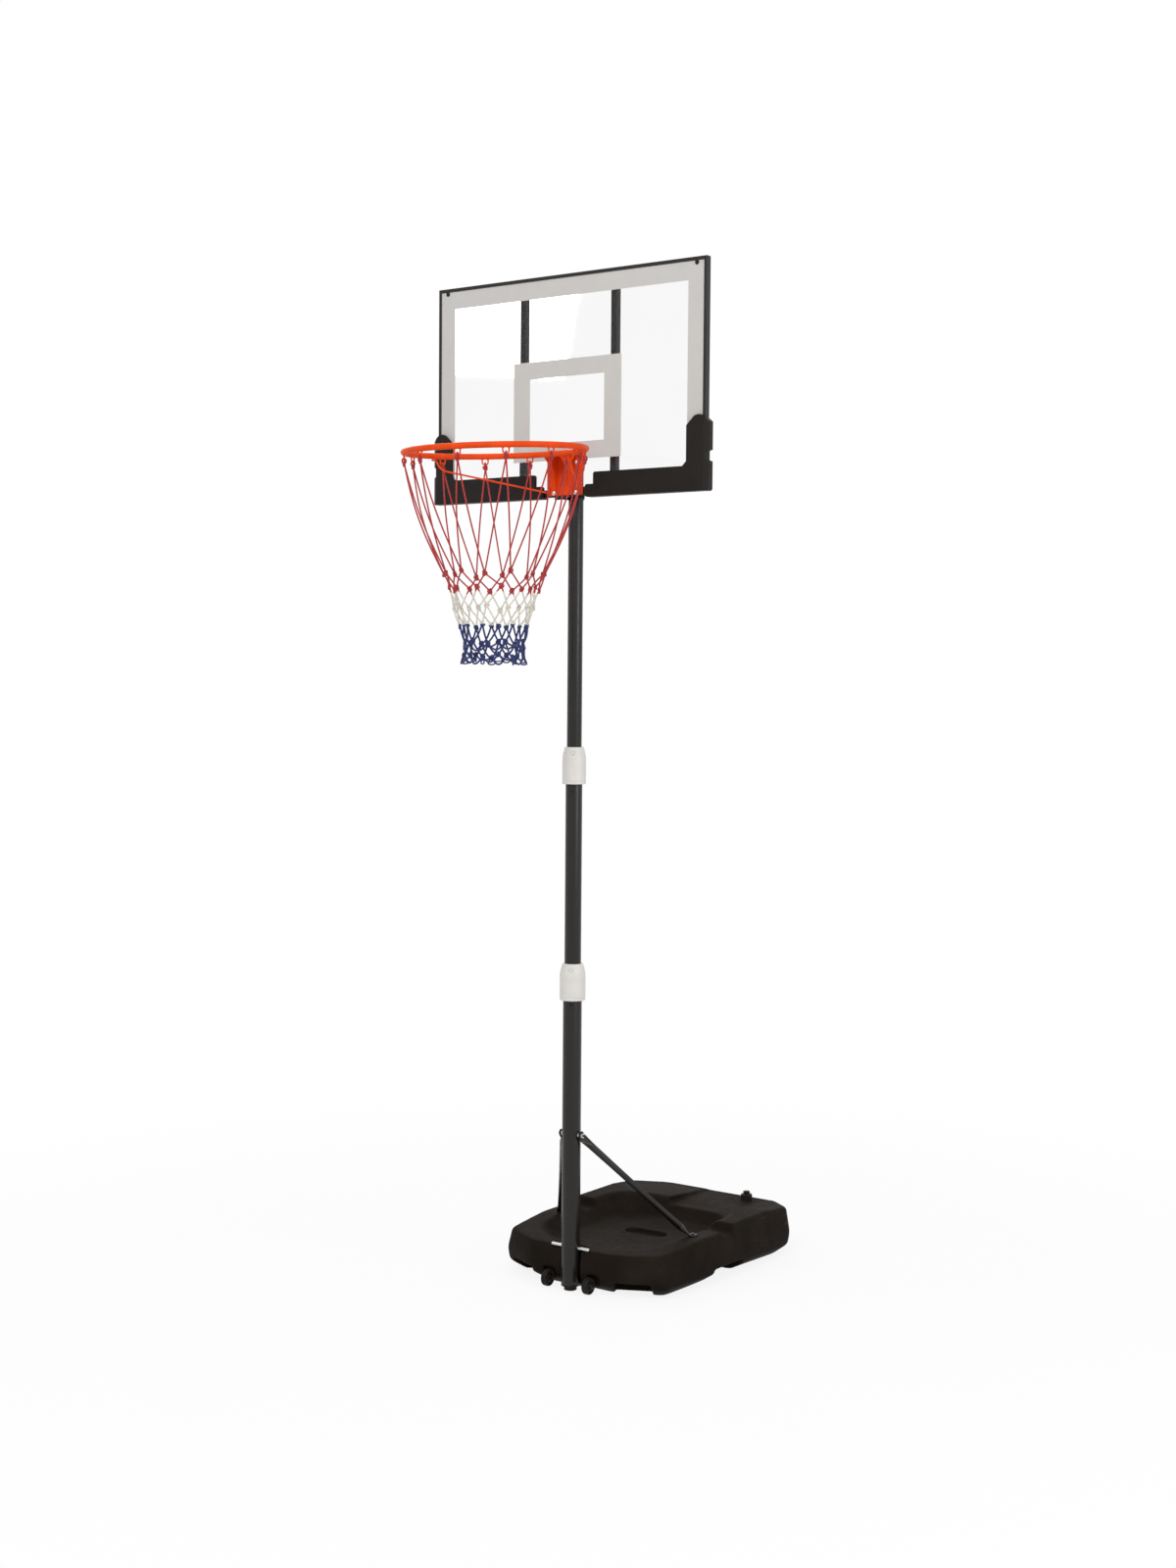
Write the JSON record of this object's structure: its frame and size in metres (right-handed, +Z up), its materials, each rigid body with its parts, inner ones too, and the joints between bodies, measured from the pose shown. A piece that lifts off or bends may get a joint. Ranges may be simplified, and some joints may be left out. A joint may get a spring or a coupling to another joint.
{
  "type": "basketball stand",
  "caption": "Portable basketball stand: clear framed backboard, orange rim with a net, telescopic pole with locking collars, and a wheeled tank base that is filled for ballast.",
  "frame": {"origin": "on the floor at the axis of the pole, on the underside of the pole's foot cap", "axes": "+X to the right of someone facing the backboard, +Y to the rear, +Z up the pole"},
  "size_m": [0.924, 1.3892, 2.793],
  "materials": {
    "black_steel": "satin black powder coat",
    "black_plastic": "moulded, finely grained",
    "white_plastic": "moulded, warm off-white",
    "black_rubber": "matt",
    "orange_paint": "orange powder coat",
    "zinc_steel": "bright zinc plate",
    "clear_sheet": "clear sheet with a printed border and target",
    "net_cord": "braided cord, red, white and blue in bands"
  },
  "bodies": {
    "stand_base": {"base_tank": "black_plastic", "wheel_axle": "black_steel", "axle_cap_left": "black_plastic", "axle_cap_right": "black_plastic", "pole_rod": "zinc_steel", "pole_foot_cap": "black_plastic", "pole_lower": "black_steel", "collar_lower": "white_plastic", "strut_left": "black_steel", "strut_right": "black_steel", "strut_washer_left": "zinc_steel", "strut_washer_right": "zinc_steel", "strut_bolt": "black_steel", "strut_nut": "zinc_steel", "strut_foot_bolt_left": "black_steel", "strut_foot_bolt_right": "black_steel"},
    "pole_middle": {"pole_middle": "black_steel", "collar_upper": "white_plastic"},
    "lock_button_lower": {"lock_button_lower": "white_plastic"},
    "lock_button_upper": {"lock_button_upper": "white_plastic"},
    "filler_cap": {"filler_cap": "black_plastic", "cap_seal": "black_rubber"},
    "wheel_left": {"wheel_left": "black_plastic"},
    "wheel_right": {"wheel_right": "black_plastic"},
    "pole_upper": {"pole_upper": "black_steel", "pole_top_cap": "black_plastic", "board_panel": "clear_sheet", "rail_bottom": "black_steel", "rail_right": "black_steel", "rail_top": "black_steel", "rail_left": "black_steel", "upright_left": "black_steel", "upright_right": "black_steel", "corner_screw_left": "black_plastic", "corner_screw_right": "black_plastic", "cover_left": "black_plastic", "cover_right": "black_plastic", "cover_screw_left": "zinc_steel", "cover_screw_right": "zinc_steel", "rim_ring": "orange_paint", "rim_bracket": "orange_paint", "rim_brace_left": "orange_paint", "rim_brace_right": "orange_paint", "pole_clamp_upper": "black_steel", "pole_clamp_lower": "black_steel", "rim_bolt_upper_left": "zinc_steel", "rim_bolt_upper_right": "zinc_steel", "rim_bolt_lower_left": "zinc_steel", "rim_bolt_lower_right": "zinc_steel", "rim_nut_upper_left": "zinc_steel", "rim_nut_upper_right": "zinc_steel", "rim_nut_lower_left": "zinc_steel", "rim_nut_lower_right": "zinc_steel", "rim_spacer_left": "black_plastic", "rim_spacer_right": "black_plastic", "net": "net_cord"}
  },
  "joints": [
    {"name": "pole_middle_slide", "type": "slide", "parent": "stand_base", "child": "pole_middle", "axis": [0, 0, 1], "range_m": [-0.26, 0]},
    {"name": "pole_upper_slide", "type": "slide", "parent": "pole_middle", "child": "pole_upper", "axis": [0, 0, 1], "range_m": [-0.5, 0]},
    {"name": "lock_button_lower_press", "type": "slide", "parent": "stand_base", "child": "lock_button_lower", "axis": [-0.5, 0.866, 0], "range_m": [0, 0.0025], "stiffness_N_per_m": 600},
    {"name": "lock_button_upper_press", "type": "slide", "parent": "pole_middle", "child": "lock_button_upper", "axis": [-0.5, 0.866, 0], "range_m": [0, 0.0025], "stiffness_N_per_m": 600},
    {"name": "filler_cap_lift", "type": "slide", "parent": "stand_base", "child": "filler_cap", "axis": [0, 0, 1], "range_m": [0, 0.03]},
    {"name": "wheel_left_spin", "type": "hinge", "parent": "stand_base", "child": "wheel_left", "pos_m": [-0.07, -0.012, 0.0238], "axis": [1, 0, 0], "continuous": true},
    {"name": "wheel_right_spin", "type": "hinge", "parent": "stand_base", "child": "wheel_right", "pos_m": [0.07, -0.012, 0.0238], "axis": [1, 0, 0], "continuous": true}
  ]
}
